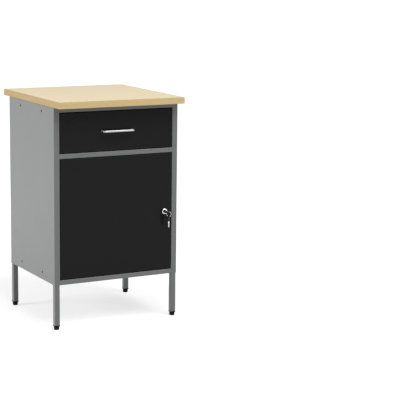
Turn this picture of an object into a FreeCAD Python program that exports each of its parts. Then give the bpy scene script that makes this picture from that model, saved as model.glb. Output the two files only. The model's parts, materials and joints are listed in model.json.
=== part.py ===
import FreeCAD, Part
import math
import os

# A workshop cabinet: a sheet steel case on four square tube legs, under a wooden worktop,
# with one drawer on telescopic slides and one lockable door below it.
# Millimetres. X runs to the right of someone facing the cabinet, Y to the rear and Z up.
# The origin is on the floor, below the middle of the worktop.

# Overall sizes
TOTAL_HEIGHT = 805.0
WORKTOP_WIDTH = 480.0
WORKTOP_DEPTH = 510.0
WORKTOP_THICKNESS = 23.0
EDGE_BAND = 0.8
BODY_WIDTH = 478.0
BODY_DEPTH = 410.0
BODY_BOTTOM = 160.0

# Sheet metal and tube
SHEET = 1.0
BEND = 1.0
LEG_SIZE = 19.0
LEG_WALL = 1.2
LEG_CORNER = 2.5

# Front frame heights
BOTTOM_RAIL_TOP = 177.0
MIDDLE_RAIL_BOTTOM = 604.0
MIDDLE_RAIL_TOP = 621.0
TOP_RAIL_HEIGHT = 17.5
RAIL_DEPTH = 19.0

# Door and drawer front
FRONT_GAP = 2.0
FRONT_SETBACK = 0.5
DRAWER_FRONT_DEPTH = 16.0
INNER_SKIN_DEPTH = 8.0
ACCESS_RADIUS = 7.0
DOOR_DEPTH = 18.0
DOOR_LIP = 12.0

# Drawer tray
TRAY_BOTTOM = 633.0
TRAY_TOP = 735.0
TRAY_REAR = 165.0
TRAY_HEM = 7.0

# Telescopic slides, measured outwards from the case side
SLIDE_THICKNESS = 12.7
SLIDE_LENGTH = 350.0
SLIDE_START = -187.0
SLIDE_HEIGHT = 684.0
SLIDE_SHEET = 1.2
OUTER_HALF = 22.5
OUTER_REACH = 12.2
OUTER_LIP = 2.9
MIDDLE_BACK = 2.4
MIDDLE_HALF = 18.3
MIDDLE_REACH = 11.0
INNER_HALF = 14.3
INNER_BACK = 5.0
CAGE_SHEET = 0.6
CAGE_LENGTH = 150.0
CAGE_START = -87.0
BALL_PITCH = 34.0
BALL_COUNT = 4

# Feet
FOOT_HEIGHT = 16.0
FOOT_TOP = 11.6
FOOT_RADIUS = 9.8
STUD_RADIUS = 3.9
STUD_TOP = 36.0
INSERT_FLANGE = 20.4
INSERT_FLANGE_HEIGHT = 4.0
INSERT_FLANGE_BEVEL = 1.6
INSERT_LENGTH = 22.0
INSERT_RIB = 1.5

# Holes in the case sides for joining the cabinet to a neighbour
SIDE_HOLE_RADIUS = 4.0
SIDE_HOLE_SPACING_Y = 192.0
SIDE_HOLE_SPACING_Z = 572.0
SIDE_HOLE_LOWEST = 187.5

# Shelf
SHELF_TOP = 370.0
SHELF_FRONT = -170.0
SHELF_REAR = 184.0
SHELF_LIP = 18.0
SHELF_HEM = 9.0

# Handle
HANDLE_CENTRES = 116.0
HANDLE_RADIUS = 4.0
HANDLE_REACH = 20.0
HANDLE_BEND = 8.0
HANDLE_HEIGHT = 693.5
SCREW_RADIUS = 2.0

# Door pivot, measured from the door's left edge and face
PIVOT_FROM_EDGE = 9.0
PIVOT_FROM_FACE = 7.0
PIN_RADIUS = 3.0
HOLE_CLEARANCE = 0.05
BUSH_RADIUS = 4.0
BUSH_FLANGE = 6.0

# Lock and keys
LOCK_X = 190.0
LOCK_Z = 390.5
LOCK_BEZEL = 10.0
LOCK_BEZEL_DEPTH = 3.0
LOCK_BODY = 8.0
LOCK_FLATS = 14.0
PLUG_RADIUS = 6.0
PLUG_RECESS = 1.0
PLUG_TAIL = 3.0
CAM_FRONT = -184.4
CAM_SHEET = 2.0
CAM_LENGTH = 34.0
KEY_SHOULDER = 3.0
KEY_SHEET = 2.0
KEY_BLADE = 22.0
KEY_ROOT = 5.0
KEY_WIDTH = 7.4
BOW_RADIUS = 9.0
BOW_SHEET = 3.4
BOW_HOLE = 4.0
BOW_NECK = 4.5
RING_RADIUS = 8.3
RING_WIRE = 0.8

# Places worked out from the sizes above
BODY_TOP = TOTAL_HEIGHT - WORKTOP_THICKNESS
HALF_WIDTH = BODY_WIDTH / 2
HALF_DEPTH = BODY_DEPTH / 2
POST_WIDTH = LEG_SIZE + 2 * SHEET
OPENING_HALF = HALF_WIDTH - POST_WIDTH
POST_DEPTH = LEG_SIZE + SHEET
BETWEEN_LEGS = HALF_DEPTH - POST_DEPTH - 1.0
LEG_X = HALF_WIDTH - SHEET - LEG_SIZE / 2
LEG_Y = HALF_DEPTH - SHEET - LEG_SIZE / 2
FACE_Y = -HALF_DEPTH + FRONT_SETBACK
SLIDE_WALL = OPENING_HALF
TRAY_HALF = OPENING_HALF - SLIDE_THICKNESS
PIVOT_X = -OPENING_HALF + FRONT_GAP + PIVOT_FROM_EDGE
PIVOT_Y = FACE_Y + PIVOT_FROM_FACE
DOOR_BOTTOM = BOTTOM_RAIL_TOP + FRONT_GAP
DOOR_TOP = MIDDLE_RAIL_BOTTOM - FRONT_GAP
DRAWER_BOTTOM = MIDDLE_RAIL_TOP + FRONT_GAP
DRAWER_TOP = BODY_TOP - TOP_RAIL_HEIGHT - FRONT_GAP
INNER_SKIN_Y = FACE_Y + DRAWER_FRONT_DEPTH
FRONT_HALF = OPENING_HALF - FRONT_GAP
INSIDE_BACK = OPENING_HALF - SHEET - BEND - 0.2


# Small helpers

def vec(x, y, z):
    return FreeCAD.Vector(x, y, z)


X, Y, Z = vec(1, 0, 0), vec(0, 1, 0), vec(0, 0, 1)
ORIGIN = vec(0, 0, 0)
PLANES = {"XY": (X, Y, Z), "XZ": (X, Z, Y), "YZ": (Y, Z, X)}


def box(low, high):
    size = vec(*high) - vec(*low)
    return Part.makeBox(size.x, size.y, size.z, vec(*low))


def rod(radius, start, axis, length):
    return Part.makeCylinder(radius, length, start, axis)


def mirrored(shape):
    """The same piece on the cabinet's other side."""
    return shape.mirror(ORIGIN, X)


def save(name, *solids):
    """One file for each named piece; identical fasteners share one."""
    shape = solids[0] if len(solids) == 1 else Part.makeCompound(list(solids))
    shape.exportStep("parts/" + name + ".step")


def fillet_path(points, radii):
    """Edges of an open path, with an arc of the given radius at each inner point."""
    edges = []
    start = points[0]
    for before, corner, after, radius in zip(points, points[1:], points[2:], radii):
        to_before = (before - corner).normalize()
        to_after = (after - corner).normalize()
        half = to_before.getAngle(to_after) / 2
        trim = radius / math.tan(half)
        bisector = (to_before + to_after).normalize()
        middle = corner + bisector * (radius / math.sin(half) - radius)
        arc_start = corner + to_before * trim
        arc_end = corner + to_after * trim
        edges.append(Part.makeLine(start, arc_start))
        edges.append(Part.Arc(arc_start, middle, arc_end).toShape())
        start = arc_end
    edges.append(Part.makeLine(start, points[-1]))
    return edges


def fold(plane, points, start, end, thickness=SHEET, bend=BEND):
    """Folded sheet: a section whose outer line follows the points, with the sheet to its left."""
    across, up, along = PLANES[plane]
    line = [vec(a, b, 0) for a, b in points]
    steps = [(b - a).normalize() for a, b in zip(line, line[1:])]
    lefts = [vec(-step.y, step.x, 0) for step in steps]
    inside = [line[0] + lefts[0] * thickness]
    outer_radii = []
    inner_radii = []
    for corner, one, two, left_one, left_two in zip(line[1:], steps, steps[1:], lefts, lefts[1:]):
        shift = (left_one + left_two) * (thickness / (1 + left_one.dot(left_two)))
        inside.append(corner + shift)
        turns_left = one.cross(two).z > 0
        outer_radii.append(bend + thickness if turns_left else bend)
        inner_radii.append(bend if turns_left else bend + thickness)
    inside.append(line[-1] + lefts[-1] * thickness)
    outer = [across * p.x + up * p.y + along * start for p in line]
    inner = [across * p.x + up * p.y + along * start for p in inside]
    edges = fillet_path(outer, outer_radii)
    edges.append(Part.makeLine(outer[-1], inner[-1]))
    edges += fillet_path(inner[::-1], inner_radii[::-1])
    edges.append(Part.makeLine(inner[0], outer[0]))
    return Part.Face(Part.Wire(edges)).extrude(along * (end - start))


def rounded_bar(width, depth, radius, base, axis, length):
    """A bar of rounded rectangular section, standing on its base point."""
    shape = box((-width / 2, -depth / 2, 0), (width / 2, depth / 2, length))
    upright = [e for e in shape.Edges if abs(e.Vertexes[0].X - e.Vertexes[1].X) < 1e-6
               and abs(e.Vertexes[0].Y - e.Vertexes[1].Y) < 1e-6]
    shape = shape.makeFillet(radius, upright)
    turn = FreeCAD.Rotation(Z, axis)
    return shape.transformed(FreeCAD.Placement(base, turn).toMatrix())


def front_pan(half_width, bottom, top, face, depth, lip):
    """A folded sheet front: a face with a rounded rim, open at the rear inside a lip."""
    outer = box((-half_width, face, bottom), (half_width, face + depth, top))
    rim = [e for e in outer.Edges if all(abs(v.Y - face) < 1e-6 for v in e.Vertexes)]
    outer = outer.makeFillet(SHEET + BEND, rim)
    hollow = box((-half_width + SHEET, face + SHEET, bottom + SHEET),
                 (half_width - SHEET, face + depth - SHEET, top - SHEET))
    inner_rim = [e for e in hollow.Edges if all(abs(v.Y - face - SHEET) < 1e-6 for v in e.Vertexes)]
    hollow = hollow.makeFillet(BEND, inner_rim)
    mouth = box((-half_width + lip, face + depth - 2 * SHEET, bottom + lip),
                (half_width - lip, face + depth + SHEET, top - lip))
    return outer.cut([hollow, mouth])


def pan_head_screw(seat, axis, length, head=3.6, rise=2.2):
    """A domed head on its seat, with the shank running the other way."""
    dome = rod(head, seat, axis, rise)
    rim = [e for e in dome.Edges if (e.CenterOfMass - seat).dot(axis) > rise / 2 and e.Closed]
    dome = dome.makeFillet(rise * 0.6, rim)
    return dome.fuse(rod(SCREW_RADIUS, seat, axis * -1, length)).removeSplitter()


# Worktop

def worktop_board():
    half_x = WORKTOP_WIDTH / 2 - EDGE_BAND
    half_y = WORKTOP_DEPTH / 2 - EDGE_BAND
    board = box((-half_x, -half_y, BODY_TOP), (half_x, half_y, TOTAL_HEIGHT))
    pilots = [rod(SCREW_RADIUS, vec(x, y, BODY_TOP), Z, 14.0) for x, y in worktop_screw_places()]
    return board.cut(pilots)


def edge_band_along_x(side):
    """Front or rear band, side -1 or 1, running the full width."""
    half_x = WORKTOP_WIDTH / 2
    outer = side * WORKTOP_DEPTH / 2
    inner = outer - side * EDGE_BAND
    strip = box((-half_x, min(outer, inner), BODY_TOP), (half_x, max(outer, inner), TOTAL_HEIGHT))
    ends = [e for e in strip.Edges if abs(e.Vertexes[0].Z - e.Vertexes[1].Z) < 1e-6
            and abs(e.CenterOfMass.y - outer) < 1e-6]
    return strip.makeFillet(0.5, ends)


def edge_band_along_y():
    """Right-hand band, between the front and rear ones."""
    half_x = WORKTOP_WIDTH / 2
    half_y = WORKTOP_DEPTH / 2 - EDGE_BAND
    strip = box((half_x - EDGE_BAND, -half_y, BODY_TOP), (half_x, half_y, TOTAL_HEIGHT))
    ends = [e for e in strip.Edges if abs(e.CenterOfMass.x - half_x) < 1e-6
            and abs(e.Vertexes[0].Z - e.Vertexes[1].Z) < 1e-6]
    return strip.makeFillet(0.5, ends)


def worktop_screw_places():
    """Three screws up through the top flange of each case side."""
    return [(side * (HALF_WIDTH - 8.0), y) for side in (-1, 1) for y in (-120.0, 0.0, 120.0)]


def worktop_screws():
    seats = [vec(x, y, BODY_TOP - SHEET) for x, y in worktop_screw_places()]
    return [pan_head_screw(seat, Z * -1, 14.0 + SHEET) for seat in seats]


# Case

def side_hole_places():
    heights = (SIDE_HOLE_LOWEST, SIDE_HOLE_LOWEST + SIDE_HOLE_SPACING_Z)
    return [(y, z) for y in (-SIDE_HOLE_SPACING_Y / 2, SIDE_HOLE_SPACING_Y / 2) for z in heights]


def rear_rivet_heights():
    return [220.0, 400.0, 580.0, 740.0]


REAR_RIVET_Y = HALF_DEPTH - 7.0


def rear_rivet_holes(side):
    """Holes through the back panel's flange, the case side's return and the leg wall."""
    depth = 2 * SHEET + LEG_WALL + 1.0
    start = side * (OPENING_HALF - SHEET - 0.5)
    return [rod(SCREW_RADIUS, vec(start, REAR_RIVET_Y, z), X * side, depth) for z in rear_rivet_heights()]


def side_panel():
    """Left side: one sheet folded round both legs, with inward flanges at top and bottom."""
    inner, outer = -OPENING_HALF, -HALF_WIDTH
    rear, front = HALF_DEPTH, -HALF_DEPTH
    wrap = [(inner, rear - POST_DEPTH), (inner, rear), (outer, rear),
            (outer, front), (inner, front), (inner, front + POST_DEPTH)]
    panel = fold("XY", wrap, BODY_BOTTOM, BODY_TOP)
    reach = 16.0
    root = 2 * (SHEET + BEND)
    top = [(outer + reach, BODY_TOP), (outer, BODY_TOP), (outer, BODY_TOP - root)]
    bottom = [(outer, BODY_BOTTOM + root), (outer, BODY_BOTTOM), (outer + reach, BODY_BOTTOM)]
    notches = [box((outer - 1, -BETWEEN_LEGS, z), (outer + 1.5, BETWEEN_LEGS, z + root))
               for z in (BODY_TOP - root, BODY_BOTTOM)]
    panel = panel.cut(notches)
    flanges = [fold("XZ", line, -BETWEEN_LEGS, BETWEEN_LEGS) for line in (top, bottom)]
    panel = panel.fuse(flanges).removeSplitter()
    holes = [rod(SIDE_HOLE_RADIUS, vec(outer - 1, y, z), X, 4.0) for y, z in side_hole_places()]
    left_screws = [(x, y) for x, y in worktop_screw_places() if x < 0]
    holes += [rod(SCREW_RADIUS, vec(x, y, BODY_TOP - 2), Z, 4.0) for x, y in left_screws]
    holes += rear_rivet_holes(-1)
    return panel.cut(holes)


def back_panel():
    """Flat back between the rear legs, with a flange folded forward along each leg."""
    edge = OPENING_HALF
    front = HALF_DEPTH - 14.0
    line = [(edge, front), (edge, HALF_DEPTH), (-edge, HALF_DEPTH), (-edge, front)]
    panel = fold("XY", line, BODY_BOTTOM, BODY_TOP)
    return panel.cut(rear_rivet_holes(-1) + rear_rivet_holes(1))


def back_panel_rivets():
    """Domed rivets that hold the back's flanges to the rear legs."""
    length = 2 * SHEET + LEG_WALL
    rivets = []
    for side in (-1, 1):
        for z in rear_rivet_heights():
            seat = vec(side * (OPENING_HALF - SHEET), REAR_RIVET_Y, z)
            rivets.append(pan_head_screw(seat, X * -side, length, 3.2, 1.2))
    return rivets


def floor_panel():
    """Floor plate notched round the legs and folded down on all sides; its front is the lower rail."""
    top = BOTTOM_RAIL_TOP
    front, rear = -HALF_DEPTH, HALF_DEPTH - SHEET
    back_half = INSIDE_BACK
    wide = HALF_WIDTH - SHEET
    inset = 15.0
    plates = [
        box((-OPENING_HALF, front + inset, top - SHEET), (OPENING_HALF, 0, top)),
        box((-back_half, 0, top - SHEET), (back_half, rear - inset, top)),
        box((-wide + inset, -BETWEEN_LEGS, top - SHEET), (wide - inset, BETWEEN_LEGS, top)),
    ]
    front_line = [(front + inset, top), (front, top), (front, BODY_BOTTOM), (front + 12.0, BODY_BOTTOM)]
    rear_line = [(rear, top - 14.0), (rear, top), (rear - inset, top)]
    side_line = [(-wide + inset, top), (-wide, top), (-wide, top - 14.0)]
    side = fold("XZ", side_line, -BETWEEN_LEGS, BETWEEN_LEGS)
    folds = [
        fold("YZ", front_line, -OPENING_HALF, OPENING_HALF),
        fold("YZ", rear_line, -back_half, back_half),
        side,
        mirrored(side),
    ]
    panel = plates[0].fuse(plates[1:] + folds + ground_welds(BODY_BOTTOM, top)).removeSplitter()
    return panel.cut(rod(BUSH_RADIUS + HOLE_CLEARANCE, vec(PIVOT_X, PIVOT_Y, top - 3), Z, 6.0))


def ground_welds(low, high):
    """Weld metal, ground flush, in the groove where a front rail meets the bend of each post."""
    groove = SHEET + BEND
    edge, front = OPENING_HALF, -HALF_DEPTH
    weld = box((edge, front, low + groove), (edge + 0.8 * groove, front + groove, high - groove))
    bend = rod(groove + 0.02, vec(edge + groove, front + groove, low), Z, high - low)
    weld = weld.cut(bend)
    return [weld, mirrored(weld)]


def top_rail_front():
    front = -HALF_DEPTH
    low = BODY_TOP - TOP_RAIL_HEIGHT
    inner = front + RAIL_DEPTH
    line = [(inner, BODY_TOP), (front, BODY_TOP), (front, low), (inner, low)]
    rail = fold("YZ", line, -OPENING_HALF, OPENING_HALF)
    return rail.fuse(ground_welds(low, BODY_TOP)).removeSplitter()


def top_rail_rear():
    rear = HALF_DEPTH - SHEET
    low = BODY_TOP - TOP_RAIL_HEIGHT
    inner = rear - RAIL_DEPTH
    line = [(inner, low), (rear, low), (rear, BODY_TOP), (inner, BODY_TOP)]
    return fold("YZ", line, -INSIDE_BACK, INSIDE_BACK)


def middle_rail():
    """Rail between drawer and door; its lip hangs behind the door's top edge and stops it."""
    front = -HALF_DEPTH
    inner = front + RAIL_DEPTH
    low, high = MIDDLE_RAIL_BOTTOM, MIDDLE_RAIL_TOP
    lip = 10.0
    line = [(inner, high), (front, high), (front, low), (inner, low), (inner, low - lip)]
    rail = fold("YZ", line, -OPENING_HALF, OPENING_HALF)
    rail = rail.fuse(ground_welds(low, high)).removeSplitter()
    door_swing = box((-OPENING_HALF - 1, inner - 0.25 * RAIL_DEPTH, low - lip - 1),
                     (-OPENING_HALF + 33.0, inner + 3.0, low + SHEET + BEND))
    pivot = rod(BUSH_RADIUS + HOLE_CLEARANCE, vec(PIVOT_X, PIVOT_Y, low - 2), Z, 5.0)
    return rail.cut([door_swing, pivot])


def leg(side, end):
    """Square tube, from its end plug to the worktop; side and end are -1 or 1."""
    centre = vec(side * LEG_X, end * LEG_Y, FOOT_HEIGHT)
    length = BODY_TOP - FOOT_HEIGHT
    outer = rounded_bar(LEG_SIZE, LEG_SIZE, LEG_CORNER, centre, Z, length)
    bore = LEG_SIZE - 2 * LEG_WALL
    tube = outer.cut(rounded_bar(bore, bore, LEG_CORNER - LEG_WALL, centre, Z, length))
    return tube.cut(rear_rivet_holes(side)) if end > 0 else tube


def leg_insert(side, end):
    """Moulded plug in the foot of a leg: a bevelled flange, a ribbed shank and a threaded boss."""
    base = vec(side * LEG_X, end * LEG_Y, FOOT_HEIGHT - INSERT_FLANGE_HEIGHT)
    flange = rounded_bar(INSERT_FLANGE, INSERT_FLANGE, LEG_CORNER, base, Z, INSERT_FLANGE_HEIGHT)
    lower_rim = [e for e in flange.Edges if e.BoundBox.ZMax < base.z + 1e-6]
    flange = flange.makeChamfer(INSERT_FLANGE_BEVEL, lower_rim)
    shank_start = base + Z * INSERT_FLANGE_HEIGHT
    width = LEG_SIZE - 2 * LEG_WALL - 0.2
    shank = rounded_bar(width, width, LEG_CORNER - LEG_WALL, shank_start, Z, INSERT_LENGTH)
    wall = width / 2 - INSERT_RIB
    pocket = box((INSERT_RIB / 2, INSERT_RIB / 2, 0), (wall, wall, INSERT_LENGTH))
    pockets = []
    for quarter in range(4):
        turn = FreeCAD.Rotation(Z, 90.0 * quarter)
        pockets.append(pocket.transformed(FreeCAD.Placement(shank_start + Z * INSERT_RIB, turn).toMatrix()))
    boss = rod(STUD_RADIUS + 1.7, shank_start, Z, INSERT_LENGTH)
    shank = shank.cut(pockets).fuse(boss)
    bored = rod(STUD_RADIUS + HOLE_CLEARANCE, base, Z, INSERT_FLANGE_HEIGHT + INSERT_LENGTH)
    return flange.fuse(shank).removeSplitter().cut(bored)


def foot(side, end):
    """Levelling foot: a tapered base on a stud that screws up into the leg's insert."""
    profile = [
        vec(0, 0, 0), vec(8.0, 0, 0), vec(9.2, 0, 1.4), vec(FOOT_RADIUS, 0, FOOT_TOP - 3.0),
        vec(FOOT_RADIUS, 0, FOOT_TOP - 0.8), vec(FOOT_RADIUS - 0.8, 0, FOOT_TOP),
        vec(STUD_RADIUS, 0, FOOT_TOP), vec(STUD_RADIUS, 0, STUD_TOP - 1.0),
        vec(STUD_RADIUS - 1.0, 0, STUD_TOP), vec(0, 0, STUD_TOP), vec(0, 0, 0),
    ]
    shape = Part.Face(Part.makePolygon(profile)).revolve(ORIGIN, Z, 360)
    shape.translate(vec(side * LEG_X, end * LEG_Y, 0))
    return shape


def shelf_rail():
    """Left angle on which the shelf's edge lies, welded to the case side."""
    wall = -HALF_WIDTH + SHEET
    seat = SHELF_TOP - SHEET
    line = [(wall + 15.0, seat), (wall, seat), (wall, seat - 15.0)]
    return fold("XZ", line, -BETWEEN_LEGS, BETWEEN_LEGS)


def shelf():
    """Loose shelf, folded down and back under at its front and rear edges."""
    half = HALF_WIDTH - SHEET - 1.5
    between_rails = HALF_WIDTH - SHEET - 16.0
    inset = 20.0
    front, rear, top = SHELF_FRONT, SHELF_REAR, SHELF_TOP
    plate = box((-half, front + 4, top - SHEET), (half, rear - 4, top))
    low = top - SHELF_LIP
    front_line = [(front + inset, top), (front, top), (front, low), (front + SHELF_HEM, low)]
    rear_line = [(rear - SHELF_HEM, low), (rear, low), (rear, top), (rear - inset, top)]
    folds = [fold("YZ", line, -between_rails, between_rails) for line in (front_line, rear_line)]
    return plate.fuse(folds).removeSplitter()


def slide_support():
    """Left channel from leg to leg, welded to the case side, that carries the drawer slide."""
    wall = -HALF_WIDTH + SHEET
    low, high = SLIDE_HEIGHT - 29.0, SLIDE_HEIGHT + 29.0
    inner = HALF_DEPTH - POST_DEPTH
    line = [(wall, low), (-SLIDE_WALL, low), (-SLIDE_WALL, high), (wall, high)]
    support = fold("XZ", line, -inner, inner)
    face = -SLIDE_WALL - 2
    holes = [rod(SCREW_RADIUS, vec(face, y, SLIDE_HEIGHT), X, 4.0) for y in slide_rivet_places()]
    return support.cut(holes)


def hinge_bush(flange_start, axis):
    """Flanged bush that lines a pivot hole."""
    place = vec(PIVOT_X, PIVOT_Y, flange_start)
    body = rod(BUSH_FLANGE, place, axis, 1.0).fuse(rod(BUSH_RADIUS, place, axis, 8.0))
    bore = rod(PIN_RADIUS + HOLE_CLEARANCE, place - axis, axis, 12.0)
    return body.removeSplitter().cut(bore)


# Drawer slides, built for the left side and mirrored for the right

def slide_rivet_places():
    return [SLIDE_START + 17.0, SLIDE_START + 175.0, SLIDE_START + 333.0]


def slide_point(out, up):
    """A point of the slide's section: out from the case wall, up from the slide's middle."""
    return (-SLIDE_WALL + out, SLIDE_HEIGHT + up)


def slide_outer():
    """Case member: a channel whose lips close over the outer rows of balls."""
    tip = OUTER_HALF - OUTER_LIP
    line = [(OUTER_REACH, tip), (OUTER_REACH, OUTER_HALF), (0, OUTER_HALF),
            (0, -OUTER_HALF), (OUTER_REACH, -OUTER_HALF), (OUTER_REACH, -tip)]
    section = [slide_point(*p) for p in line]
    member = fold("XZ", section, SLIDE_START, SLIDE_START + SLIDE_LENGTH, SLIDE_SHEET)
    sinks = [Part.makeCone(2.0, 3.2, SLIDE_SHEET, vec(-SLIDE_WALL, y, SLIDE_HEIGHT), X)
             for y in slide_rivet_places()]
    return member.cut(sinks)


def slide_rivets():
    """Countersunk rivets, flush inside the slide so that the cage passes over them."""
    rivets = []
    for y in slide_rivet_places():
        seat = vec(-SLIDE_WALL, y, SLIDE_HEIGHT)
        head = Part.makeCone(2.0, 3.2, SLIDE_SHEET, seat, X)
        shank = rod(SCREW_RADIUS, seat - X * SHEET, X, SHEET)
        tail = rod(3.2, seat - X * (SHEET + 1.2), X, 1.2)
        rivets.append(head.fuse([shank, tail]).removeSplitter())
    return rivets + [mirrored(rivet) for rivet in rivets]


def slide_middle():
    """Telescoping member: an open channel with a row of balls above and below each flange."""
    line = [(MIDDLE_REACH, MIDDLE_HALF), (MIDDLE_BACK, MIDDLE_HALF),
            (MIDDLE_BACK, -MIDDLE_HALF), (MIDDLE_REACH, -MIDDLE_HALF)]
    section = [slide_point(*p) for p in line]
    return fold("XZ", section, SLIDE_START, SLIDE_START + SLIDE_LENGTH, SLIDE_SHEET)


def slide_inner():
    """Drawer member: a narrow channel screwed to the tray, facing the case."""
    line = [(INNER_BACK, -INNER_HALF), (SLIDE_THICKNESS, -INNER_HALF),
            (SLIDE_THICKNESS, INNER_HALF), (INNER_BACK, INNER_HALF)]
    section = [slide_point(*p) for p in line]
    member = fold("XZ", section, SLIDE_START, SLIDE_START + SLIDE_LENGTH, SLIDE_SHEET)
    web = -TRAY_HALF - 2
    holes = [rod(SCREW_RADIUS, vec(web, y, SLIDE_HEIGHT), X, 4.0) for y in slide_rivet_places()]
    return member.cut(holes)


def ball_cage(back, reach, half, ball_out, ball_radius):
    """Retainer strip round the slide, with a row of balls in the holes of each flange."""
    line = [(reach, half), (back, half), (back, -half), (reach, -half)]
    section = [slide_point(*p) for p in line]
    strip = fold("XZ", section, CAGE_START, CAGE_START + CAGE_LENGTH, CAGE_SHEET, 0.5)
    row = half - CAGE_SHEET / 2
    first = CAGE_START + (CAGE_LENGTH - BALL_PITCH * (BALL_COUNT - 1)) / 2
    holes = []
    balls = []
    for number in range(BALL_COUNT):
        for up in (-row, row):
            x, z = slide_point(ball_out, up)
            centre = vec(x, first + number * BALL_PITCH, z)
            holes.append(rod(ball_radius + 0.15, centre - Z, Z, 2.0))
            balls.append(Part.makeSphere(ball_radius, centre))
    return [strip.cut(holes)] + balls


def ball_cage_outer():
    return ball_cage(1.5, 9.5, 20.1, 6.5, 1.4)


def ball_cage_inner():
    return ball_cage(4.0, 10.2, 16.0, 7.6, 1.3)


# Drawer

def drawer_front():
    pan = front_pan(FRONT_HALF, DRAWER_BOTTOM, DRAWER_TOP, FACE_Y, DRAWER_FRONT_DEPTH, SHEET)
    holes = [rod(SCREW_RADIUS, vec(x, FACE_Y - 1, HANDLE_HEIGHT), Y, 4.0) for x in handle_ends()]
    return pan.cut(holes)


def drawer_inner_front():
    """Inner skin that closes the front's open back and carries the tray."""
    half = FRONT_HALF - SHEET - 0.1
    low, high = DRAWER_BOTTOM + SHEET + 0.1, DRAWER_TOP - SHEET - 0.1
    start = INNER_SKIN_Y - INNER_SKIN_DEPTH
    skin = box((-half, start, low), (half, INNER_SKIN_Y, high))
    rim = [e for e in skin.Edges if all(abs(v.Y - INNER_SKIN_Y) < 1e-6 for v in e.Vertexes)]
    skin = skin.makeFillet(SHEET + BEND, rim)
    inside = half - SHEET
    hollow = box((-inside, start - 1, low + SHEET), (inside, INNER_SKIN_Y - SHEET, high - SHEET))
    access = [rod(ACCESS_RADIUS, vec(x, INNER_SKIN_Y - 3, HANDLE_HEIGHT), Y, 6.0) for x in handle_ends()]
    return skin.cut([hollow] + access)


def drawer_tray():
    """Bottom and both sides in one folded sheet, with a hem along each top edge."""
    side, hem = TRAY_HALF, TRAY_HALF - TRAY_HEM
    line = [(-hem, TRAY_TOP), (-side, TRAY_TOP), (-side, TRAY_BOTTOM),
            (side, TRAY_BOTTOM), (side, TRAY_TOP), (hem, TRAY_TOP)]
    tray = fold("XZ", line, INNER_SKIN_Y, TRAY_REAR)
    holes = [rod(SCREW_RADIUS, vec(s * (side + 1), y, SLIDE_HEIGHT), X * -s, 4.0)
             for s in (-1, 1) for y in slide_rivet_places()]
    return tray.cut(holes)


def drawer_back():
    """Rear wall between the tray's sides, its corners trimmed to clear the tray's bends."""
    half = TRAY_HALF - SHEET
    front = TRAY_REAR - 11.0
    line = [(half, front), (half, TRAY_REAR), (-half, TRAY_REAR), (-half, front)]
    low, high = TRAY_BOTTOM + SHEET, TRAY_TOP - SHEET
    wall = fold("XY", line, low, high)
    trims = [box((x - BEND, front - 1, z - BEND), (x + BEND, TRAY_REAR + 1, z + BEND))
             for x in (-half, half) for z in (low, high)]
    return wall.cut(trims)


def handle_ends():
    return (-HANDLE_CENTRES / 2, HANDLE_CENTRES / 2)


def drawer_handle():
    """Bow handle: one bent rod, drilled at both ends for its screws."""
    left, right = handle_ends()
    grip = FACE_Y - HANDLE_REACH
    points = [vec(left, FACE_Y, HANDLE_HEIGHT), vec(left, grip, HANDLE_HEIGHT),
              vec(right, grip, HANDLE_HEIGHT), vec(right, FACE_Y, HANDLE_HEIGHT)]
    path = Part.Wire(fillet_path(points, [HANDLE_BEND, HANDLE_BEND]))
    circle = Part.Wire(Part.makeCircle(HANDLE_RADIUS, points[0], Y * -1))
    bow = path.makePipeShell([circle], True, False)
    drillings = [rod(SCREW_RADIUS, vec(x, FACE_Y, HANDLE_HEIGHT), Y * -1, 6.5) for x in handle_ends()]
    return bow.cut(drillings)


def handle_screws():
    seats = [vec(x, FACE_Y + SHEET, HANDLE_HEIGHT) for x in handle_ends()]
    return [pan_head_screw(seat, Y, 6.0 + SHEET) for seat in seats]


def drawer_slide_screws():
    """Screws from inside the tray into each inner slide member."""
    screws = []
    for side in (-1, 1):
        for y in slide_rivet_places():
            seat = vec(side * (TRAY_HALF - SHEET), y, SLIDE_HEIGHT)
            screws.append(pan_head_screw(seat, X * -side, SHEET + SLIDE_SHEET, 3.6, 1.8))
    return screws


# Door

def door_panel():
    pan = front_pan(FRONT_HALF, DOOR_BOTTOM, DOOR_TOP, FACE_Y, DOOR_DEPTH, DOOR_LIP)
    low_end = vec(PIVOT_X, PIVOT_Y, DOOR_BOTTOM - 1)
    pivots = rod(PIN_RADIUS + HOLE_CLEARANCE, low_end, Z, DOOR_TOP - DOOR_BOTTOM + 2)
    lock_hole = lock_barrel(LOCK_BODY + 0.1, FACE_Y - 1, 3.0)
    return pan.cut([pivots, lock_hole])


def door_stiffener():
    """Hat section welded up the middle of the door, behind its face."""
    seat = FACE_Y + SHEET
    crown = seat + 14.0
    line = [(-45.0, seat), (-25.0, seat), (-25.0, crown), (25.0, crown), (25.0, seat), (45.0, seat)]
    return fold("XY", line, DOOR_BOTTOM + 4.0, DOOR_TOP - 4.0)


def hinge_pin(edge, outward):
    """Pivot pin through the door's edge: a shoulder outside it and a collar inside."""
    place = vec(PIVOT_X, PIVOT_Y, edge)
    pin = rod(PIN_RADIUS, place - outward * 12.0, outward, 22.0)
    shoulder = rod(4.6, place, outward, FRONT_GAP - 1.2)
    collar = rod(4.6, place - outward * (SHEET + 2.0), outward, 2.0)
    return pin.fuse([shoulder, collar]).removeSplitter()


def hinge_pins():
    return [hinge_pin(DOOR_BOTTOM, Z * -1), hinge_pin(DOOR_TOP, Z)]


# Lock

def lock_barrel(radius, start, length):
    """A cylinder along the lock's axis with a flat above and below."""
    barrel = rod(radius, vec(LOCK_X, start, LOCK_Z), Y, length)
    half = LOCK_FLATS / 2 + (radius - LOCK_BODY)
    slab = box((LOCK_X - radius, start, LOCK_Z - half), (LOCK_X + radius, start + length, LOCK_Z + half))
    return barrel.common(slab)


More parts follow.
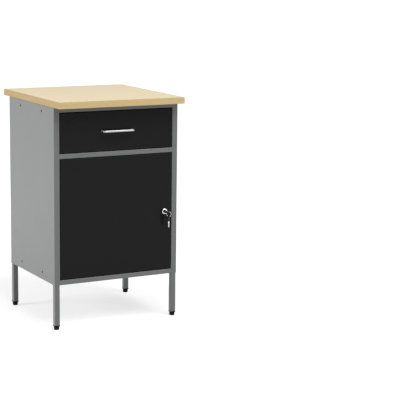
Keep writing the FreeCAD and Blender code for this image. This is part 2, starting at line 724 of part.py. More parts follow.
def lock_housing():
    """Turned bezel on a flat-sided barrel, bored for the plug."""
    front = -LOCK_BEZEL_DEPTH
    bore_radius = PLUG_RADIUS + HOLE_CLEARANCE
    profile = [
        vec(bore_radius, front + PLUG_RECESS, 0), vec(bore_radius + 1.2, front, 0),
        vec(LOCK_BEZEL - 1.4, front, 0), vec(LOCK_BEZEL, front + 1.4, 0),
        vec(LOCK_BEZEL, 0, 0), vec(bore_radius, 0, 0),
    ]
    bezel = Part.Face(Part.makePolygon(profile + [profile[0]])).revolve(ORIGIN, Y, 360)
    bezel.translate(vec(LOCK_X, FACE_Y, LOCK_Z))
    length = DOOR_DEPTH
    barrel = lock_barrel(LOCK_BODY, FACE_Y, length)
    bore = rod(bore_radius, vec(LOCK_X, FACE_Y - 1, LOCK_Z), Y, length + 2)
    return bezel.fuse(barrel.cut(bore)).removeSplitter()


def lock_nut():
    """Hexagonal nut behind the door's face."""
    start = vec(LOCK_X, FACE_Y + SHEET, LOCK_Z)
    corner = 12.0
    corners = [start + vec(corner * math.cos(math.radians(a)), 0, corner * math.sin(math.radians(a)))
               for a in range(0, 360, 60)]
    hexagon = Part.Face(Part.makePolygon(corners + corners[:1])).extrude(Y * 4.0)
    return hexagon.cut(rod(LOCK_BODY + HOLE_CLEARANCE, start - Y, Y, 6.0))


def plug_rear():
    return FACE_Y + DOOR_DEPTH + 0.8


def square_tail(start, end):
    half = PLUG_TAIL
    return box((LOCK_X - half, start, LOCK_Z - half), (LOCK_X + half, end, LOCK_Z + half))


def lock_plug():
    """Plug with a keyway across its face and a square tail for the cam."""
    face = FACE_Y - LOCK_BEZEL_DEPTH + PLUG_RECESS
    plug = rod(PLUG_RADIUS, vec(LOCK_X, face, LOCK_Z), Y, plug_rear() - face)
    tail = square_tail(plug_rear() - 1, CAM_FRONT + CAM_SHEET)
    slot = key_outline(0.1, True)
    thread = rod(1.5, vec(LOCK_X, CAM_FRONT - 4, LOCK_Z), Y, 10.0)
    return plug.fuse(tail).cut([slot, thread])


def lock_cam():
    """Latch plate, straight up when unlocked; a quarter turn puts it behind the right-hand post."""
    tip = vec(LOCK_X, CAM_FRONT, LOCK_Z + CAM_LENGTH)
    root = vec(LOCK_X, CAM_FRONT, LOCK_Z)
    half = 6.0
    arm = box((LOCK_X - half, CAM_FRONT, LOCK_Z), (LOCK_X + half, CAM_FRONT + CAM_SHEET, tip.z))
    plate = rod(half + 2.0, root, Y, CAM_SHEET)
    plate = plate.fuse([rod(half, tip, Y, CAM_SHEET), arm]).removeSplitter()
    return plate.cut(square_tail(CAM_FRONT - 1, CAM_FRONT + CAM_SHEET + 1))


def cam_screw():
    seat = vec(LOCK_X, CAM_FRONT + CAM_SHEET, LOCK_Z)
    head = rod(4.5, seat, Y, 2.4)
    rim = [e for e in head.Edges if e.Closed and e.CenterOfMass.y > seat.y + 1]
    return head.makeFillet(1.2, rim).fuse(rod(1.5, seat, Y * -1, 5.5)).removeSplitter()


def key_shoulder_y():
    return FACE_Y - LOCK_BEZEL_DEPTH - KEY_SHOULDER


def key_outline(grow, plain):
    """Blade of the key that is in the lock, flat and level; plain leaves out the bitting."""
    start = key_shoulder_y()
    half = KEY_WIDTH / 2 + grow
    thick = KEY_SHEET / 2 + grow
    end = start + KEY_BLADE + grow
    root = start - KEY_ROOT
    points = [(-half, root), (half, root), (half, end - 2.0), (half - 2.0, end),
              (-half + 2.0, end), (-half, end - 2.0)]
    corners = [vec(LOCK_X + x, y, LOCK_Z - thick) for x, y in points]
    blade = Part.Face(Part.makePolygon(corners + corners[:1])).extrude(Z * 2 * thick)
    return blade if plain else blade.cut(key_bitting(start, half))


def key_bitting(start, half):
    """V cuts of changing depth down both edges of the blade."""
    cuts = []
    for number, depth in enumerate((1.0, 1.6, 0.8, 1.4, 1.1)):
        y = start + 8.0 + 3.4 * number
        for side in (-1, 1):
            notch = [vec(LOCK_X + side * (half + 0.1), y - depth - 0.3, LOCK_Z - 2),
                     vec(LOCK_X + side * (half - depth), y - 0.4, LOCK_Z - 2),
                     vec(LOCK_X + side * (half - depth), y + 0.4, LOCK_Z - 2),
                     vec(LOCK_X + side * (half + 0.1), y + depth + 0.3, LOCK_Z - 2)]
            cuts.append(Part.Face(Part.makePolygon(notch + notch[:1])).extrude(Z * 4))
    return cuts


def bow_centre():
    return vec(LOCK_X, key_shoulder_y() - BOW_NECK - BOW_RADIUS, LOCK_Z)


def bow_hole_centre():
    return bow_centre() - Y * 2.5


def key_blade():
    return key_outline(0.0, False)


def key_bow():
    """Moulded head of the key, with the hole for the ring."""
    half = BOW_SHEET / 2
    low = bow_centre() - Z * half
    disc = rod(BOW_RADIUS, low, Z, BOW_SHEET)
    neck = box((LOCK_X - 5.0, low.y, low.z), (LOCK_X + 5.0, key_shoulder_y(), low.z + BOW_SHEET))
    head = disc.fuse(neck).removeSplitter()
    rims = [e for e in head.Edges if abs(e.BoundBox.ZMax - e.BoundBox.ZMin) < 1e-6]
    head = head.makeFillet(0.8, rims)
    head = head.cut(rod(BOW_HOLE, bow_hole_centre() - Z * 4, Z, 8.0))
    return head.cut(key_blade())


RING_DIRECTION = vec(math.sqrt(0.5), -math.sqrt(0.5), 0)


def ring_top():
    """Middle of the wire where the ring rests on the rim of the key's bow."""
    rim_middle = bow_hole_centre() + RING_DIRECTION * 5.1
    return rim_middle + Z * (BOW_SHEET / 2 + RING_WIRE + 0.2)


def ring_bottom():
    return ring_top() - Z * 2 * RING_RADIUS


def key_ring():
    """Ring through the key's bow, hanging in an upright plane."""
    normal = vec(-RING_DIRECTION.y, RING_DIRECTION.x, 0)
    return Part.makeTorus(RING_RADIUS, RING_WIRE, ring_top() - Z * RING_RADIUS, normal)


def hung_on_ring(shape):
    """Moves a piece of the key in the lock to the spare key's place, blade down and square to the wire."""
    hole_from_wire = BOW_HOLE - 2 * RING_WIRE
    centre = ring_bottom() - Z * hole_from_wire
    tip_down = FreeCAD.Rotation(X, -90.0)
    turned = FreeCAD.Rotation(Y * -1, RING_DIRECTION)
    moved = shape.copy()
    moved.translate(bow_hole_centre() * -1)
    return moved.transformed(FreeCAD.Placement(centre, turned.multiply(tip_down)).toMatrix())


# The build: one file for each named piece

def build():
    os.makedirs("parts", exist_ok=True)
    save("worktop_board", worktop_board())
    save("worktop_edge_front", edge_band_along_x(-1))
    save("worktop_edge_rear", edge_band_along_x(1))
    save("worktop_edge_right", edge_band_along_y())
    save("worktop_edge_left", mirrored(edge_band_along_y()))
    save("worktop_screws", *worktop_screws())
    save("back_panel", back_panel())
    save("back_panel_rivets", *back_panel_rivets())
    save("floor_panel", floor_panel())
    save("top_rail_front", top_rail_front())
    save("top_rail_rear", top_rail_rear())
    save("middle_rail", middle_rail())
    save("shelf", shelf())
    save("shelf_rails", shelf_rail(), mirrored(shelf_rail()))
    save("slide_rivets", *slide_rivets())
    save("hinge_bushes", hinge_bush(BOTTOM_RAIL_TOP + 1.0, Z * -1), hinge_bush(MIDDLE_RAIL_BOTTOM - 1.0, Z))

    left_pieces = {
        "side_panel": [side_panel()],
        "slide_support": [slide_support()],
        "slide_outer": [slide_outer()],
        "slide_middle": [slide_middle()],
        "slide_inner": [slide_inner()],
        "ball_cage_outer": ball_cage_outer(),
        "ball_cage_inner": ball_cage_inner(),
    }
    for name, solids in left_pieces.items():
        save(name + "_left", *solids)
        save(name + "_right", *[mirrored(solid) for solid in solids])

    corners = {"front_left": (-1, -1), "front_right": (1, -1), "rear_left": (-1, 1), "rear_right": (1, 1)}
    for name, (side, end) in corners.items():
        save("leg_" + name, leg(side, end))
        save("foot_" + name, foot(side, end))
    save("leg_inserts", *[leg_insert(side, end) for side, end in corners.values()])

    save("drawer_front", drawer_front())
    save("drawer_inner_front", drawer_inner_front())
    save("drawer_tray", drawer_tray())
    save("drawer_back", drawer_back())
    save("drawer_handle", drawer_handle())
    save("handle_screws", *handle_screws())
    save("drawer_slide_screws", *drawer_slide_screws())

    save("door_panel", door_panel())
    save("door_stiffener", door_stiffener())
    save("hinge_pins", *hinge_pins())
    save("lock_housing", lock_housing())
    save("lock_nut", lock_nut())
    save("lock_plug", lock_plug())
    save("lock_cam", lock_cam())
    save("cam_screw", cam_screw())
    save("key_blade", key_blade())
    save("key_bow", key_bow())
    save("key_ring", key_ring())
    save("spare_key_blade", hung_on_ring(key_blade()))
    save("spare_key_bow", hung_on_ring(key_bow()))


build()
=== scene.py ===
import json
import math

import bmesh
import bpy
from mathutils import Matrix, Vector


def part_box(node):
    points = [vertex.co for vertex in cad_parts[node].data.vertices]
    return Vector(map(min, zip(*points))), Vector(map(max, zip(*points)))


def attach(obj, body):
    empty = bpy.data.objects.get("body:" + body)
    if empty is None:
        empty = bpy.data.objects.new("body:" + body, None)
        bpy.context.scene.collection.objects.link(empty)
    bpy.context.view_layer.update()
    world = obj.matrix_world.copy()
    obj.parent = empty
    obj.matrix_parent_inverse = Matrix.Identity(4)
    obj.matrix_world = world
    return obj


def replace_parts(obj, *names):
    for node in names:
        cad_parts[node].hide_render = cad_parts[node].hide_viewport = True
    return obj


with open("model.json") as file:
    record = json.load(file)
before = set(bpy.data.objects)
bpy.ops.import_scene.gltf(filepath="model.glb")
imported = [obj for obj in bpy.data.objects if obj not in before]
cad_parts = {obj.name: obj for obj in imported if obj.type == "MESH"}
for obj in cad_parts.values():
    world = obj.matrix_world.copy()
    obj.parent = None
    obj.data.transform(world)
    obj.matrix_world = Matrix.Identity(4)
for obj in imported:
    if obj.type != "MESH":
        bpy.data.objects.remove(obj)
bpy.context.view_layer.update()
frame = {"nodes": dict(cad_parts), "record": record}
RECORD = frame["record"]
NODES = frame["nodes"]


# Shader helpers

NOISE_MIDDLE = 0.5


def connect(tree, node, values):
    """Sets sockets of a node to plain values, or links them to other sockets."""
    for name, value in values.items():
        socket = node.inputs[name]
        if isinstance(value, bpy.types.NodeSocket):
            tree.links.new(value, socket)
        else:
            socket.default_value = value


def add(tree, kind, inputs=None, **settings):
    """A new node of the given kind, with its settings and sockets."""
    node = tree.nodes.new(kind)
    for name, value in settings.items():
        setattr(node, name, value)
    connect(tree, node, inputs or {})
    return node


def place(tree, stretch):
    """Position on the object in metres, stretched by a factor for each axis."""
    coordinates = add(tree, "ShaderNodeTexCoord").outputs["Object"]
    return add(tree, "ShaderNodeMapping", {"Vector": coordinates, "Scale": stretch}).outputs["Vector"]


def noise(tree, scale, detail=2.0, stretch=(1, 1, 1), roughness=0.5, distortion=0.0):
    """Soft noise with about that many features to a metre. Its values lie close about the middle."""
    inputs = {"Vector": place(tree, stretch), "Scale": scale, "Detail": detail,
              "Roughness": roughness, "Distortion": distortion}
    return add(tree, "ShaderNodeTexNoise", inputs).outputs["Fac"]


def remap(tree, value, low, high, to_low=0.0, to_high=1.0):
    """A value carried from one range to another, and held within the second."""
    inputs = {"Value": value, "From Min": low, "From Max": high, "To Min": to_low, "To Max": to_high}
    return add(tree, "ShaderNodeMapRange", inputs).outputs["Result"]


def widened(tree, value, half_width, to_low=0.0, to_high=1.0):
    """Noise carried from a band of that half width about its middle to a new range."""
    return remap(tree, value, NOISE_MIDDLE - half_width, NOISE_MIDDLE + half_width, to_low, to_high)


def math_node(tree, operation, first, second):
    """The result of an operation on two values or sockets."""
    return add(tree, "ShaderNodeMath", {0: first, 1: second}, operation=operation).outputs[0]


def rgba(colour):
    """A colour with its alpha, or the socket that gives it."""
    if isinstance(colour, bpy.types.NodeSocket):
        return colour
    return (*colour, 1.0)


def mix_colour(tree, factor, first, second):
    """The first colour where the factor is 0, and the second where it is 1."""
    inputs = {0: factor, 6: rgba(first), 7: rgba(second)}
    return add(tree, "ShaderNodeMix", inputs, data_type="RGBA").outputs[2]


def scaled(colour, factor):
    """A lighter or darker tone of a colour."""
    return tuple(min(1.0, channel * factor) for channel in colour)


def bump(tree, height, distance, normal=None):
    """A normal tilted by a relief whose full height is a distance in metres."""
    inputs = {"Height": height, "Distance": distance, "Strength": 1.0}
    if normal is not None:
        inputs["Normal"] = normal
    return add(tree, "ShaderNodeBump", inputs).outputs["Normal"]


# Surface effects that several materials share

# Half width of the noise band that is widened, where the contrast is firm and where it is soft
FIRM = 0.15
SOFT = 0.2

# Cosine of the angle between the rounded and the true normal, where wear starts and where it is full
EDGE_START = 0.995
EDGE_FULL = 0.85

# Band of noise that breaks the wear up into patches
PATCH_SCALE = 60.0
PATCH_LOW = 0.42
PATCH_HIGH = 0.62


def clouded(tree, colour, scale, detail, contrast, darker, lighter):
    """A colour that drifts between a darker and a lighter tone of itself."""
    drift = widened(tree, noise(tree, scale, detail), contrast)
    return mix_colour(tree, drift, scaled(colour, darker), scaled(colour, lighter))


def edge_mask(tree, radius):
    """1 on sharp edges and 0 on flat faces, broken up by noise."""
    rounded = add(tree, "ShaderNodeBevel", {"Radius": radius}, samples=4).outputs["Normal"]
    true = add(tree, "ShaderNodeNewGeometry").outputs["Normal"]
    flat = add(tree, "ShaderNodeVectorMath", {0: rounded, 1: true}, operation="DOT_PRODUCT").outputs["Value"]
    edge = remap(tree, flat, EDGE_START, EDGE_FULL)
    patches = remap(tree, noise(tree, PATCH_SCALE, detail=4.0), PATCH_LOW, PATCH_HIGH)
    return math_node(tree, "MULTIPLY", edge, patches)


def rubbed(tree, tone, colour, radius, wear, lighter):
    """A tone that turns into a lighter one of its colour along sharp edges."""
    mask = math_node(tree, "MULTIPLY", edge_mask(tree, radius), wear)
    return mix_colour(tree, mask, tone, scaled(colour, lighter))


# Materials, each kept under the slot that it finishes

MATERIALS = {}


def principled(slot):
    """A new material for a slot: its tree and its shader node."""
    material = bpy.data.materials.new(slot + "_scene")
    material.use_nodes = True
    MATERIALS[slot] = material
    tree = material.node_tree
    return tree, tree.nodes["Principled BSDF"]


def powder_coat(slot, colour, roughness, specular):
    """Baked powder paint: fine orange peel, faint clouding, thinner and lighter on the edges."""
    tree, shader = principled(slot)
    clouds = clouded(tree, colour, scale=5.0, detail=3.0, contrast=FIRM, darker=0.985, lighter=1.015)
    grain = widened(tree, noise(tree, scale=1400.0, detail=1.0), FIRM)
    speckled = mix_colour(tree, grain, scaled(colour, 0.96), clouds)
    painted = rubbed(tree, speckled, colour, radius=0.0008, wear=0.2, lighter=1.5)
    gloss = widened(tree, noise(tree, scale=18.0, detail=5.0), SOFT, roughness - 0.01, roughness + 0.02)
    peel = bump(tree, noise(tree, scale=420.0, detail=1.5), distance=0.000012)
    fine_peel = bump(tree, noise(tree, scale=1600.0, detail=1.0), distance=0.000005, normal=peel)
    connect(tree, shader, {"Base Color": painted, "Roughness": gloss, "Normal": fine_peel,
                           "Specular IOR Level": specular})


GRAIN_SCALE = 3.0
FLECK_LOW = 0.62
FLECK_HIGH = 0.72
BAND_SHARE = 0.35
STREAK_SHARE = 0.35
FIBRE_SHARE = 0.3
FIBRE_HEIGHT = 0.00002
WOOD_SPECULAR = 0.25


def grain_noise(tree, axis, along, across, scale=GRAIN_SCALE, **settings):
    """Noise stretched by one factor along the axis of the grain and by another across it."""
    stretch = tuple(along if letter == axis else across for letter in "XYZ")
    return noise(tree, scale, stretch=stretch, **settings)


def wood(slot, pale, dark, fleck, axis, fleck_strength, roughness):
    """Lacquered beech: soft bands, streaks and fine fibres along one axis, with short darker flecks."""
    tree, shader = principled(slot)
    band = grain_noise(tree, axis, along=0.5, across=7.0, detail=3.0, roughness=0.55, distortion=0.6)
    streak = grain_noise(tree, axis, along=0.9, across=34.0, detail=2.0, roughness=0.5, distortion=0.3)
    fibre = grain_noise(tree, axis, along=2.0, across=160.0, detail=4.0, roughness=0.6, distortion=0.15)
    spot = grain_noise(tree, axis, along=70.0, across=620.0, scale=1.0, detail=1.0)
    bands = math_node(tree, "MULTIPLY", widened(tree, band, FIRM), BAND_SHARE)
    streaks = math_node(tree, "MULTIPLY", widened(tree, streak, FIRM), STREAK_SHARE)
    relief = widened(tree, fibre, SOFT)
    fibres = math_node(tree, "MULTIPLY", relief, FIBRE_SHARE)
    mixed = math_node(tree, "ADD", math_node(tree, "ADD", bands, streaks), fibres)
    flecks = remap(tree, spot, FLECK_LOW, FLECK_HIGH, 0.0, fleck_strength)
    flecked = mix_colour(tree, flecks, mix_colour(tree, mixed, pale, dark), fleck)
    gloss = remap(tree, relief, 0.0, 1.0, roughness - 0.04, roughness + 0.05)
    connect(tree, shader, {"Base Color": flecked, "Roughness": gloss,
                           "Normal": bump(tree, relief, FIBRE_HEIGHT), "Specular IOR Level": WOOD_SPECULAR})


DRAWN_MARKS = 6.0


def metal(slot, colour, roughness, stretch, mark_depth=0.00001, unevenness=0.07):
    """Plated or rolled steel, with fine marks along the direction it was drawn."""
    tree, shader = principled(slot)
    marks = noise(tree, DRAWN_MARKS, detail=3.0, stretch=stretch)
    tone = clouded(tree, colour, scale=30.0, detail=4.0, contrast=SOFT, darker=0.9, lighter=1.06)
    gloss = widened(tree, marks, SOFT, roughness - unevenness, roughness + unevenness)
    connect(tree, shader, {"Base Color": tone, "Metallic": 1.0, "Roughness": gloss,
                           "Normal": bump(tree, marks, mark_depth)})


GRIP_DEPTH = 0.009
GRIP_ROUGHNESS = 0.14
LEG_ROUGHNESS = 0.42
# Share of metal on the legs; the matt rest shows the painted grey, a painted reflection
LEG_METALLIC = 0.3
LEG_FADE = 0.003


def bow_handle(slot, grip, painted_leg_grey):
    """Plated rod, polished along the grip and rougher on its two legs behind it, where a darker part-matt
    grey is a painted reflection, standing in for the grey those legs show.
    """
    tree, shader = principled(slot)
    grip_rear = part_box("drawer_handle")[0].y + GRIP_DEPTH
    coordinates = add(tree, "ShaderNodeTexCoord").outputs["Object"]
    depth = add(tree, "ShaderNodeSeparateXYZ", {"Vector": coordinates}).outputs["Y"]
    on_leg = remap(tree, depth, grip_rear, grip_rear + LEG_FADE)
    marks = noise(tree, DRAWN_MARKS, detail=3.0, stretch=(3, 60, 60))
    plated = clouded(tree, grip, scale=30.0, detail=4.0, contrast=SOFT, darker=0.95, lighter=1.03)
    connect(tree, shader, {"Base Color": mix_colour(tree, on_leg, plated, painted_leg_grey),
                           "Metallic": remap(tree, on_leg, 0.0, 1.0, 1.0, LEG_METALLIC),
                           "Roughness": remap(tree, on_leg, 0.0, 1.0, GRIP_ROUGHNESS, LEG_ROUGHNESS),
                           "Normal": bump(tree, marks, distance=0.000001)})


PLASTIC_SPECULAR = 0.12


def plastic(slot, colour, roughness):
    """Moulded plastic with a fine spark-eroded grain."""
    tree, shader = principled(slot)
    grain = noise(tree, scale=1800.0, detail=2.0)
    tone = clouded(tree, colour, scale=40.0, detail=3.0, contrast=SOFT, darker=0.9, lighter=1.15)
    worn = rubbed(tree, tone, colour, radius=0.0006, wear=0.3, lighter=2.0)
    gloss = widened(tree, grain, SOFT, roughness - 0.05, roughness + 0.05)
    connect(tree, shader, {"Base Color": worn, "Roughness": gloss,
                           "Normal": bump(tree, grain, distance=0.00002),
                           "Specular IOR Level": PLASTIC_SPECULAR})


powder_coat("case_paint", colour=(0.176, 0.181, 0.179), roughness=0.31, specular=0.5)
powder_coat("front_paint", colour=(0.0125, 0.0125, 0.0126), roughness=0.20, specular=0.085)
wood("board_wood", pale=(0.75, 0.622, 0.396), dark=(0.705, 0.576, 0.358), fleck=(0.62, 0.48, 0.28),
     axis="X", fleck_strength=0.5, roughness=0.42)
wood("edge_wood", pale=(0.80, 0.605, 0.30), dark=(0.70, 0.515, 0.25), fleck=(0.61, 0.43, 0.2),
     axis="X", fleck_strength=0.35, roughness=0.45)
# Painted shade: the left and right edge bands, darker than the front band to cancel the side lamp's stronger
# light on them
wood("shaded_side_band_wood", pale=(0.495, 0.356, 0.16), dark=(0.435, 0.305, 0.134), fleck=(0.375, 0.255, 0.107),
     axis="Y", fleck_strength=0.35, roughness=0.45)
metal("ring_steel", colour=(0.50, 0.50, 0.51), roughness=0.2, stretch=(20, 60, 20),
      mark_depth=0.000004, unevenness=0.04)
# Painted shade: near-black steel for the lock plug and hinge pins, standing in for the shade at the lock's
# centre and in the door gap
metal("painted_shade_steel", colour=(0.03, 0.03, 0.031), roughness=0.35, stretch=(20, 20, 20), mark_depth=0.000004)
metal("zinc_steel", colour=(0.36, 0.37, 0.385), roughness=0.42, stretch=(40, 4, 40))
metal("cage_steel", colour=(0.34, 0.35, 0.36), roughness=0.40, stretch=(40, 4, 40))
bow_handle("handle_nickel", grip=(0.43, 0.43, 0.425), painted_leg_grey=(0.3, 0.3, 0.3))
metal("lock_chrome", colour=(0.80, 0.80, 0.81), roughness=0.12, stretch=(30, 30, 30),
      mark_depth=0.000002, unevenness=0.03)
metal("key_nickel", colour=(0.72, 0.71, 0.68), roughness=0.2, stretch=(20, 60, 20),
      mark_depth=0.000004, unevenness=0.04)
plastic("key_plastic", colour=(0.003, 0.003, 0.003), roughness=0.45)
plastic("foot_plastic", colour=(0.003, 0.003, 0.003), roughness=0.5)
plastic("bush_nylon", colour=(0.02, 0.02, 0.02), roughness=0.45)

SLOT_OF = {part["node"]: part["material_slot"] for part in RECORD["subparts"]}

# Nodes that render darker or brighter than the rest of their slot: the key ring's duller steel, and painted
# shade on the left and right edge bands, darkened to cancel the side lamp's stronger light, and on the lock
# plug and hinge pins, near black where shade falls in the lock and the door gap
OWN_FINISH_AND_PAINTED_SHADE = {"worktop_edge_left": "shaded_side_band_wood", "worktop_edge_right": "shaded_side_band_wood",
              "key_ring": "ring_steel", "lock_plug": "painted_shade_steel", "hinge_pins": "painted_shade_steel"}
for node_name, node_object in NODES.items():
    finish = OWN_FINISH_AND_PAINTED_SHADE.get(node_name, SLOT_OF[node_name])
    node_object.data.materials.clear()
    node_object.data.materials.append(MATERIALS[finish])


# Pieces modelled in place of plainer nodes, with their sizes in metres

BODY_OF = {node: body for body, members in RECORD["behaviour"]["bodies"].items() for node in members}
SHARP_ANGLE = math.radians(35)

# The moulded base of a foot: height and radius of each of its rings, from the sole up
FOOT_COLUMNS = 64
FOOT_TOP = 0.0116
FOOT_PROFILE = [(0.0, 0.0076), (0.00015, 0.0080), (0.0008, 0.0087), (0.0014, 0.0092), (0.0018, 0.0093),
                (0.0084, 0.0098), (0.0106, 0.0098), (0.0111, 0.0096), (0.0115, 0.0092), (FOOT_TOP, 0.0088)]

# The threaded stud: its radii, its pitch and the share of the pitch that is flat at crest and at root
STUD_CREST = 0.0039
STUD_ROOT = 0.0033
STUD_PITCH = 0.00125
STUD_FLAT_SHARE = 1 / 6
STUD_CHAMFER = 0.001
STUD_COLUMNS = 24
STUD_ROWS_PER_TURN = 8

# The axis that the screws of a node lie along, where X is 0, and the cross recess in their heads
SCREW_AXES = {"worktop_screws": 2, "handle_screws": 1, "drawer_slide_screws": 0, "cam_screw": 1}
SAME_POINT = 1e-6
HEAD_RIM_SHARE = 0.9
CROSS_REACH = 0.0020
CROSS_HALF_WIDTH = 0.00045
CROSS_DEPTH = 0.0014
CROSS_TAPER = 0.5
CROSS_CLEARANCE = 0.0003


def object_of(name, shape):
    """A new object that takes over a finished shape, with its faces turned outwards."""
    mesh = bpy.data.meshes.new(name)
    bmesh.ops.recalc_face_normals(shape, faces=shape.faces)
    shape.to_mesh(mesh)
    shape.free()
    made = bpy.data.objects.new(name, mesh)
    bpy.context.scene.collection.objects.link(made)
    return made


def add_piece(name, shape, node, slot):
    """A piece made from a finished shape, on the body of a node and with the finish of a slot."""
    piece = object_of(name, shape)
    mesh = piece.data
    mesh.polygons.foreach_set("use_smooth", [True] * len(mesh.polygons))
    mesh.set_sharp_from_angle(angle=SHARP_ANGLE)
    mesh.materials.append(MATERIALS[slot])
    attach(piece, BODY_OF[node])
    return piece


def close_loops(shape, loops):
    """Faces from each loop of vertices to the next, and a cap on the first and the last."""
    for lower, upper in zip(loops, loops[1:]):
        for k in range(len(lower)):
            after = (k + 1) % len(lower)
            shape.faces.new((lower[k], lower[after], upper[after], upper[k]))
    shape.faces.new(loops[0])
    shape.faces.new(loops[-1])


def lathe(rings, centre):
    """A closed solid of rings about an upright line. A ring lists a height and radius for each column."""
    shape = bmesh.new()
    loops = []
    for ring in rings:
        loop = []
        for column, (height, radius) in enumerate(ring):
            turn = 2 * math.pi * column / len(ring)
            offset = Vector((math.cos(turn) * radius, math.sin(turn) * radius, height))
            loop.append(shape.verts.new(centre + offset))
        loops.append(loop)
    close_loops(shape, loops)
    return shape


def foot_base(centre):
    """Moulded base: a flat sole, a slight taper and softened rims."""
    return lathe([[level] * FOOT_COLUMNS for level in FOOT_PROFILE], centre)


def stud_radius(height, share, top):
    """Radius of the thread at a height and a share of a turn, narrowed over the chamfer at its end."""
    phase = (height / STUD_PITCH - share) % 1.0
    from_crest = abs(2 * phase - 1)
    groove = min(1.0, max(0.0, (from_crest - STUD_FLAT_SHARE) / (1 - 2 * STUD_FLAT_SHARE)))
    threaded = STUD_CREST - groove * (STUD_CREST - STUD_ROOT)
    return min(threaded, STUD_CREST - STUD_CHAMFER + (top - height))


def threaded_stud(centre, top):
    """The stud above a foot's base, with one helical thread from end to end."""
    length = top - FOOT_TOP
    count = round(length / STUD_PITCH * STUD_ROWS_PER_TURN)
    shares = [column / STUD_COLUMNS for column in range(STUD_COLUMNS)]
    rings = []
    for row in range(count + 1):
        height = FOOT_TOP + length * row / count
        rings.append([(height, stud_radius(height, share, top)) for share in shares])
    return lathe(rings, centre)


def build_feet():
    for end in ("front", "rear"):
        for side in ("left", "right"):
            node = f"foot_{end}_{side}"
            low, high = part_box(node)
            centre = Vector(((low.x + high.x) / 2, (low.y + high.y) / 2, low.z))
            base = add_piece(node + "_base", foot_base(centre), node, "foot_plastic")
            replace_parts(base, node)
            add_piece(node + "_stud", threaded_stud(centre, high.z - low.z), node, "zinc_steel")


def loose_parts(shape):
    """The points of each separate solid in a shape."""
    seen = set()
    parts = []
    for start in shape.verts:
        if start in seen:
            continue
        seen.add(start)
        found = [start]
        for vert in found:
            near = [edge.other_vert(vert) for edge in vert.link_edges]
            fresh = [other for other in near if other not in seen]
            seen.update(fresh)
            found.extend(fresh)
        parts.append([vert.co.copy() for vert in found])
    return parts


def head_of(points, axis):
    """Centre of a screw's head on its outer face, and the direction it looks in."""
    low = Vector([min(point[k] for point in points) for k in range(3)])
    high = Vector([max(point[k] for point in points) for k in range(3)])
    centre = (low + high) / 2
    across = [k for k in range(3) if k != axis]
    reach = [math.hypot(*(point[k] - centre[k] for k in across)) for point in points]
    rim = HEAD_RIM_SHARE * max(reach)
    wide = [point[axis] for point, distance in zip(points, reach) if distance > rim]
    outward = 1.0 if sum(wide) / len(wide) > centre[axis] else -1.0
    centre[axis] = high[axis] if outward > 0 else low[axis]
    direction = Vector([outward if k == axis else 0.0 for k in range(3)])
    return centre, direction


def cross_outline():
    """The corners of a cross, arm by arm: three corners turned by a quarter four times."""
    corners = [(CROSS_HALF_WIDTH, CROSS_HALF_WIDTH), (CROSS_HALF_WIDTH, CROSS_REACH),
               (-CROSS_HALF_WIDTH, CROSS_REACH)]
    outline = []
    for quarter in range(4):
        outline.extend(corners)
        corners = [(-v, u) for u, v in corners]
    return outline


def cross_cutter(shape, head, direction):
    """Adds a tapered cross that reaches from just above a screw's head down into it."""
    first = direction.orthogonal().normalized()
    second = direction.cross(first)
    loops = []
    for depth, scale in ((-CROSS_CLEARANCE, 1.0), (CROSS_DEPTH, CROSS_TAPER)):
        middle = head - direction * depth
        offsets = [(first * u + second * v) * scale for u, v in cross_outline()]
        loops.append([shape.verts.new(middle + offset) for offset in offsets])
    close_loops(shape, loops)


def build_recessed_screws():
    """Screws as in the frame, with a cross recess cut into each head."""
    for node, axis in SCREW_AXES.items():
        plain = bmesh.new()
        plain.from_mesh(NODES[node].data)
        bmesh.ops.remove_doubles(plain, verts=plain.verts, dist=SAME_POINT)
        cutter = bmesh.new()
        for points in loose_parts(plain):
            cross_cutter(cutter, *head_of(points, axis))
        blank = object_of("screw_blank", plain)
        tool = object_of("screw_tool", cutter)
        cut = blank.modifiers.new("recess", "BOOLEAN")
        cut.operation = "DIFFERENCE"
        cut.solver = "EXACT"
        cut.object = tool
        bpy.context.view_layer.update()
        result = bmesh.new()
        result.from_object(blank, bpy.context.evaluated_depsgraph_get())
        bpy.data.objects.remove(blank)
        bpy.data.objects.remove(tool)
        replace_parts(add_piece(node + "_recessed", result, node, SLOT_OF[node]), node)


build_feet()
build_recessed_screws()


# Stage: a pale floor that glows only where it is seen directly, and soft light

WHITE = (1.0, 1.0, 1.0, 1.0)
AMBIENT = 0.3
FLOOR_SIZE = 80.0
FLOOR_COLOUR = (0.6, 0.6, 0.6, 1.0)
GLOW_NEAR = 0.62
GLOW_FAR = 0.9
NEAR_RADIUS = 0.6
FAR_RADIUS = 2.2


def seen_directly(tree):
    """1 for rays from the camera, in mirrors and through glass, and 0 for light that bounces."""
    path = add(tree, "ShaderNodeLightPath").outputs
    direct = math_node(tree, "ADD", path["Is Camera Ray"], path["Is Glossy Ray"])
    total = math_node(tree, "ADD", direct, path["Is Transmission Ray"])
    return math_node(tree, "MINIMUM", total, 1.0)


def build_world():
    world = bpy.data.worlds.new("studio")
    world.use_nodes = True
    bpy.context.scene.world = world
    tree = world.node_tree
    strength = remap(tree, seen_directly(tree), 0.0, 1.0, AMBIENT, 1.0)
    connect(tree, tree.nodes["Background"], {"Color": WHITE, "Strength": strength})


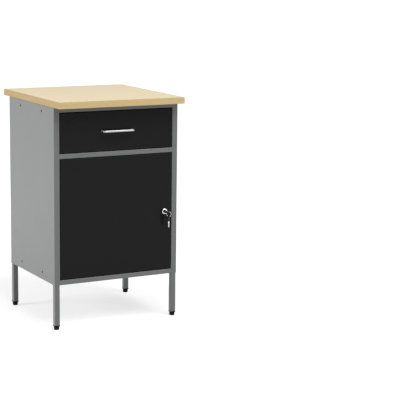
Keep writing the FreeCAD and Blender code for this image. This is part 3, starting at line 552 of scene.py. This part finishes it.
def floor_material():
    """Pale matt floor, seen through from below."""
    material = bpy.data.materials.new("floor")
    material.use_nodes = True
    tree = material.node_tree
    tree.nodes.clear()
    diffuse = add(tree, "ShaderNodeBsdfDiffuse", {"Color": FLOOR_COLOUR}).outputs[0]
    centre = add(tree, "ShaderNodeTexCoord").outputs["Object"]
    distance = add(tree, "ShaderNodeVectorMath", {0: centre}, operation="LENGTH").outputs["Value"]
    level = remap(tree, distance, NEAR_RADIUS, FAR_RADIUS, GLOW_NEAR, GLOW_FAR)
    strength = math_node(tree, "MULTIPLY", seen_directly(tree), level)
    glow = add(tree, "ShaderNodeEmission", {"Color": WHITE, "Strength": strength}).outputs[0]
    lit = add(tree, "ShaderNodeAddShader", {0: diffuse, 1: glow}).outputs[0]
    clear = add(tree, "ShaderNodeBsdfTransparent").outputs[0]
    below = add(tree, "ShaderNodeNewGeometry").outputs["Backfacing"]
    surface = add(tree, "ShaderNodeMixShader", {0: below, 1: lit, 2: clear}).outputs[0]
    add(tree, "ShaderNodeOutputMaterial", {"Surface": surface})
    return material


def build_floor():
    bpy.ops.mesh.primitive_plane_add(size=FLOOR_SIZE)
    floor = bpy.context.object
    floor.name = "floor"
    floor.data.materials.append(floor_material())


# Lamps, with their sizes and places in metres and their power in watts

LAMP_TARGET = (0.0, 0.0, 0.45)
LAMP_SIZE = 3.0
SIDE_LAMP_PLACE = (-6.0, 0.8, 2.4)
SIDE_LAMP_POWER = 270.0
FRONT_LAMP_PLACE = (0.5, -2.12, 3.65)
FRONT_LAMP_POWER = 100.0


def build_lamp(name, position, power):
    """A round soft lamp that looks at the middle of the cabinet."""
    data = bpy.data.lights.new(name, "AREA")
    data.shape = "DISK"
    data.size = LAMP_SIZE
    data.energy = power
    lamp = bpy.data.objects.new(name, data)
    bpy.context.scene.collection.objects.link(lamp)
    lamp.location = position
    lamp.rotation_euler = (Vector(LAMP_TARGET) - Vector(position)).to_track_quat("-Z", "Y").to_euler()


# Camera, with its place in metres, its angles in radians and its lens in millimetres

CAMERA_PLACE = (-2.1195, -4.6195, 1.3234)
CAMERA_YAW = 0.5132
CAMERA_PITCH = 0.1824
CAMERA_ROLL = 0.0141
CAMERA_LENS = 121.97
CAMERA_SENSOR = 36.0
CAMERA_CLIP_END = 200.0


def build_camera():
    camera = bpy.data.objects.new("camera", bpy.data.cameras.new("camera"))
    bpy.context.scene.collection.objects.link(camera)
    turn = Matrix.Rotation(-CAMERA_YAW, 4, "Z")
    tilt = Matrix.Rotation(math.pi / 2 - CAMERA_PITCH, 4, "X")
    roll = Matrix.Rotation(CAMERA_ROLL, 4, "Z")
    camera.matrix_world = Matrix.Translation(CAMERA_PLACE) @ turn @ tilt @ roll
    camera.data.sensor_width = CAMERA_SENSOR
    camera.data.lens = CAMERA_LENS
    camera.data.clip_end = CAMERA_CLIP_END
    bpy.context.scene.camera = camera


build_world()
build_floor()
build_lamp("side_light", SIDE_LAMP_PLACE, SIDE_LAMP_POWER)
build_lamp("front_light", FRONT_LAMP_PLACE, FRONT_LAMP_POWER)
build_camera()
bpy.context.scene.view_settings.view_transform = "Standard"
